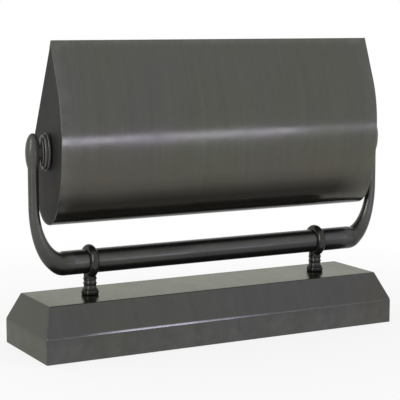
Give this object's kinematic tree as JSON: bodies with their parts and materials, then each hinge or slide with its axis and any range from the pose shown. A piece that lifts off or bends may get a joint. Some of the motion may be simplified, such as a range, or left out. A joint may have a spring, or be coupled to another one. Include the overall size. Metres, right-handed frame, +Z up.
{
  "type": "mantel light",
  "caption": "Free-standing mantel light: a long trough shade tilts between the swept arms of a crossbar that turns in turned ring posts on a bevelled, weighted base.",
  "frame": {"origin": "middle of the underside of the felt, on the shelf", "axes": "+X along the shade to the right of a viewer in front, +Y to the back, towards the open side of the shade, +Z up"},
  "size_m": [0.2892, 0.078, 0.2121],
  "materials": {
    "bronze_paint": "satin oil-rubbed bronze",
    "cast_iron": "as cast",
    "zinc_steel": "zinc plated",
    "felt": "napped",
    "black_rubber": "matte",
    "brass": "dull",
    "phenolic": "moulded",
    "lamp_glass": "clear",
    "lamp_cap": "rolled",
    "filament_wire": "drawn wire"
  },
  "bodies": {
    "base": {"base_cover": "bronze_paint", "base_weight": "cast_iron", "base_plate": "zinc_steel", "felt_pad": "felt", "plate_screws": "zinc_steel", "cord_bushing": "black_rubber", "left_post": "bronze_paint", "right_post": "bronze_paint", "post_washers": "zinc_steel", "post_nuts": "zinc_steel", "ring_screws": "zinc_steel"},
    "yoke": {"crossbar": "bronze_paint", "left_arm": "bronze_paint", "right_arm": "bronze_paint", "left_knob": "bronze_paint", "right_knob": "bronze_paint", "pivot_collars": "bronze_paint", "knob_screws": "zinc_steel"},
    "shade": {"shade_wrap": "bronze_paint", "left_cap": "bronze_paint", "right_cap": "bronze_paint", "pivot_plates": "bronze_paint", "left_stud": "brass", "right_stud": "brass", "cap_nuts": "brass", "socket_cap": "brass", "socket_body": "phenolic", "screw_shell": "brass", "centre_contact": "brass", "lamp_glass": "lamp_glass", "lamp_cap": "lamp_cap", "lamp_contact": "brass", "lamp_stem": "lamp_glass", "filament": "filament_wire"},
    "key": {"switch_key": "phenolic"}
  },
  "joints": [
    {"name": "yoke_swing", "type": "hinge", "parent": "base", "child": "yoke", "pos_m": [0, 0, 0.0602], "axis": [1, 0, 0], "range_deg": [-25, 25]},
    {"name": "shade_tilt", "type": "hinge", "parent": "yoke", "child": "shade", "pos_m": [0.0073, 0, 0.13737], "axis": [1, 0, 0], "range_deg": [-45, 60]},
    {"name": "switch_turn", "type": "hinge", "parent": "shade", "child": "key", "pos_m": [-0.09718, 0, 0.13737], "axis": [0, 0.8979, 0.4402], "range_deg": [0, 90]}
  ]
}
